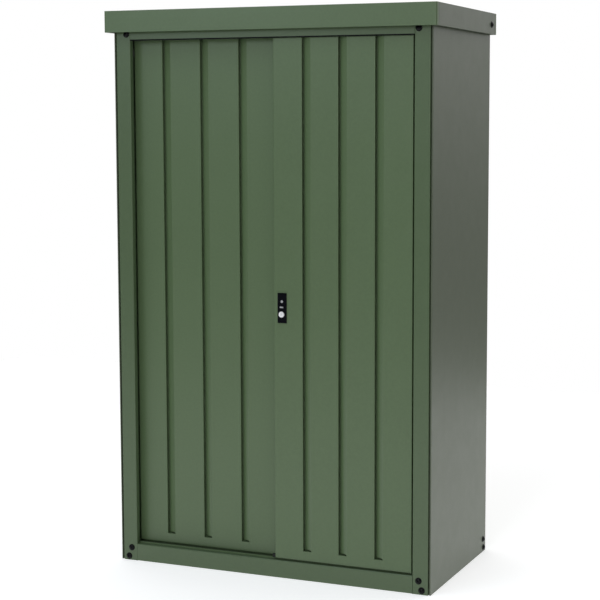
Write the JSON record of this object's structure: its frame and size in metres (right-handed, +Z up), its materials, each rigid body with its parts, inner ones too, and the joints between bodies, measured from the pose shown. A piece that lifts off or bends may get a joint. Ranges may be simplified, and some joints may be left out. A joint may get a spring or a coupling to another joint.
{
  "type": "metal storage shed",
  "caption": "Slim free-standing steel storage shed with ribbed sliding doors on two tracks, a boxed roof cap and a key lock.",
  "frame": {"origin": "middle of the overall footprint, on the ground", "axes": "+Z up along the height, front with the sliding doors faces -Y, +X to the right seen from the front"},
  "size_m": [0.996, 0.528, 1.593],
  "materials": {
    "green_paint": "semi-gloss",
    "side_paint": "semi-gloss",
    "frame_paint": "semi-gloss",
    "zinc_steel": "dull zinc",
    "black_plastic": "matte",
    "grey_plastic": "matte",
    "bright_metal": "satin"
  },
  "bodies": {
    "cabinet": {"floor_panel": "zinc_steel", "front_sill": "green_paint", "sill_rails": "green_paint", "rear_base_rail": "frame_paint", "left_base_rail": "frame_paint", "right_base_rail": "frame_paint", "left_front_post": "green_paint", "right_front_post": "green_paint", "left_rear_post": "frame_paint", "right_rear_post": "frame_paint", "back_stiffener": "frame_paint", "left_side_panel": "side_paint", "right_side_panel": "side_paint", "left_back_panel": "green_paint", "right_back_panel": "green_paint", "front_header": "green_paint", "rear_top_rail": "frame_paint", "left_top_rail": "frame_paint", "right_top_rail": "frame_paint", "roof_stiffener": "frame_paint", "roof_panel": "green_paint", "front_apron": "green_paint", "rear_apron": "green_paint", "left_apron": "green_paint", "right_apron": "green_paint", "post_stop": "grey_plastic"},
    "left_door": {"left_door_skin": "green_paint", "left_door_outer_stile": "frame_paint", "left_door_inner_stile": "frame_paint", "left_door_top_rail": "frame_paint", "left_door_bottom_rail": "frame_paint", "left_door_rollers": "grey_plastic", "left_door_guides": "grey_plastic"},
    "right_door": {"right_door_skin": "green_paint", "right_door_outer_stile": "frame_paint", "right_door_inner_stile": "frame_paint", "right_door_top_rail": "frame_paint", "right_door_bottom_rail": "frame_paint", "right_door_rollers": "grey_plastic", "right_door_guides": "grey_plastic", "right_door_shoe": "grey_plastic", "lock_plate": "black_plastic", "lock_marks": "bright_metal", "lock_case": "zinc_steel"},
    "key_cylinder": {"lock_cylinder": "bright_metal"}
  },
  "joints": [
    {"name": "left_door_slide", "type": "slide", "parent": "cabinet", "child": "left_door", "axis": [1, 0, 0], "range_m": [0, 0.39]},
    {"name": "right_door_slide", "type": "slide", "parent": "cabinet", "child": "right_door", "axis": [-1, 0, 0], "range_m": [0, 0.425]},
    {"name": "key_turn", "type": "hinge", "parent": "right_door", "child": "key_cylinder", "pos_m": [0.038, -0.2338, 0.748], "axis": [0, 1, 0], "range_deg": [0, 90]}
  ]
}
